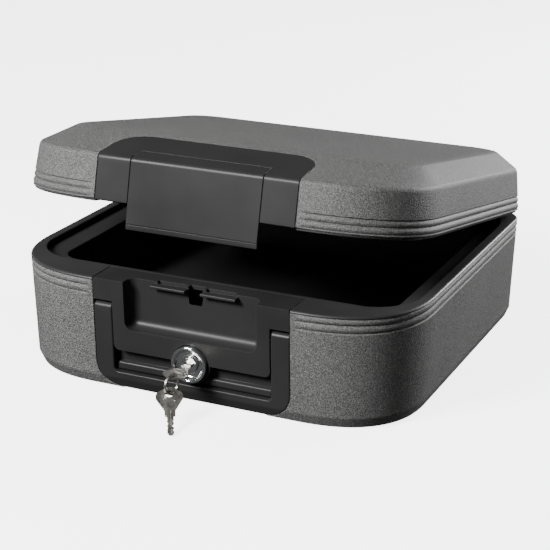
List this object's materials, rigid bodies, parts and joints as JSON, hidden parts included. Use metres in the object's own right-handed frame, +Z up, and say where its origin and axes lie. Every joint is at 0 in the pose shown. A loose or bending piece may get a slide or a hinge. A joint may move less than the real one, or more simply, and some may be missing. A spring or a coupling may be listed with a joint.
{
  "type": "fireproof document box",
  "caption": "Lidded fire-resistant chest with a stepped well, front latch plate, fold-out carry handle, cam lock and keys.",
  "frame": {"origin": "on the resting surface, under the middle of the base's footprint (half way along its width and its depth, keys and hinges left out)", "axes": "+X to the right along the front, +Y from the front to the hinges, +Z up"},
  "size_m": [0.391, 0.4259, 0.2199],
  "materials": {
    "shell_plastic": "charcoal moulded plastic with a stippled, faintly speckled grain",
    "trim_plastic": "smooth satin black moulded plastic",
    "liner_plastic": "black moulded plastic, fine matt",
    "insulation": "pale cementitious insulation, rough",
    "seal_rubber": "matt black",
    "lock_chrome": "bright polished",
    "hardware_steel": "plain zinc-plated steel",
    "key_nickel": "nickel-plated brass, lightly worn"
  },
  "bodies": {
    "base": {"base_outer_shell": "shell_plastic", "base_insulation": "insulation", "base_inner_liner": "liner_plastic", "base_front_panel": "trim_plastic", "handle_pocket": "trim_plastic", "lock_bezel": "lock_chrome", "lock_barrel": "hardware_steel", "lock_nut": "hardware_steel", "bolt_guide": "liner_plastic", "handle_pin_left": "hardware_steel", "handle_pin_right": "hardware_steel", "hinge_pin_left": "hardware_steel", "hinge_pin_right": "hardware_steel"},
    "handle": {"carry_handle": "trim_plastic"},
    "lock_cylinder": {"lock_plug": "lock_chrome", "lock_cam": "hardware_steel", "cam_screw": "hardware_steel", "inserted_key": "key_nickel"},
    "bolt": {"locking_bolt": "hardware_steel"},
    "ring": {"key_ring": "key_nickel"},
    "spare": {"spare_key": "key_nickel"},
    "lid": {"lid_outer_shell": "shell_plastic", "lid_insulation": "insulation", "lid_inner_liner": "liner_plastic", "lid_gasket": "seal_rubber", "lid_front_trim": "trim_plastic", "latch_rod": "hardware_steel", "latch_spring": "hardware_steel"},
    "latch": {"latch_plate": "trim_plastic"}
  },
  "joints": [
    {"name": "lid_hinge", "type": "hinge", "parent": "base", "child": "lid", "pos_m": [0, 0.18, 0.1027], "axis": [-1, 0, 0], "range_deg": [-11, 69]},
    {"name": "latch_pivot", "type": "hinge", "parent": "lid", "child": "latch", "pos_m": [0, -0.14276, 0.21261], "axis": [-1, 0, 0], "range_deg": [0, 35], "stiffness_Nm_per_rad": 0.05, "springref_deg": -34.38},
    {"name": "handle_swing", "type": "hinge", "parent": "base", "child": "handle", "pos_m": [0, -0.1696, 0.07725], "axis": [-1, 0, 0], "range_deg": [0, 28]},
    {"name": "key_turn", "type": "hinge", "parent": "base", "child": "lock_cylinder", "pos_m": [0, -0.1755, 0.0384], "axis": [0, -1, 0], "range_deg": [0, 90]},
    {"name": "bolt_slide", "type": "slide", "parent": "base", "child": "bolt", "axis": [0, 0, 1], "range_m": [0, 0.0065]},
    {"name": "ring_slip", "type": "hinge", "parent": "lock_cylinder", "child": "ring", "pos_m": [0, -0.2083, 0.03225], "axis": [-0.9659, 0.2588, 0], "range_deg": [0, 45]},
    {"name": "spare_swing", "type": "hinge", "parent": "ring", "child": "spare", "pos_m": [-0.00073, -0.21101, 0.02454], "axis": [-0.866, -0.5, 0], "range_deg": [0, 10]}
  ],
  "couplings": [
    {"joint": "bolt_slide", "follows": "key_turn", "m_per_rad": 0.00413}
  ]
}
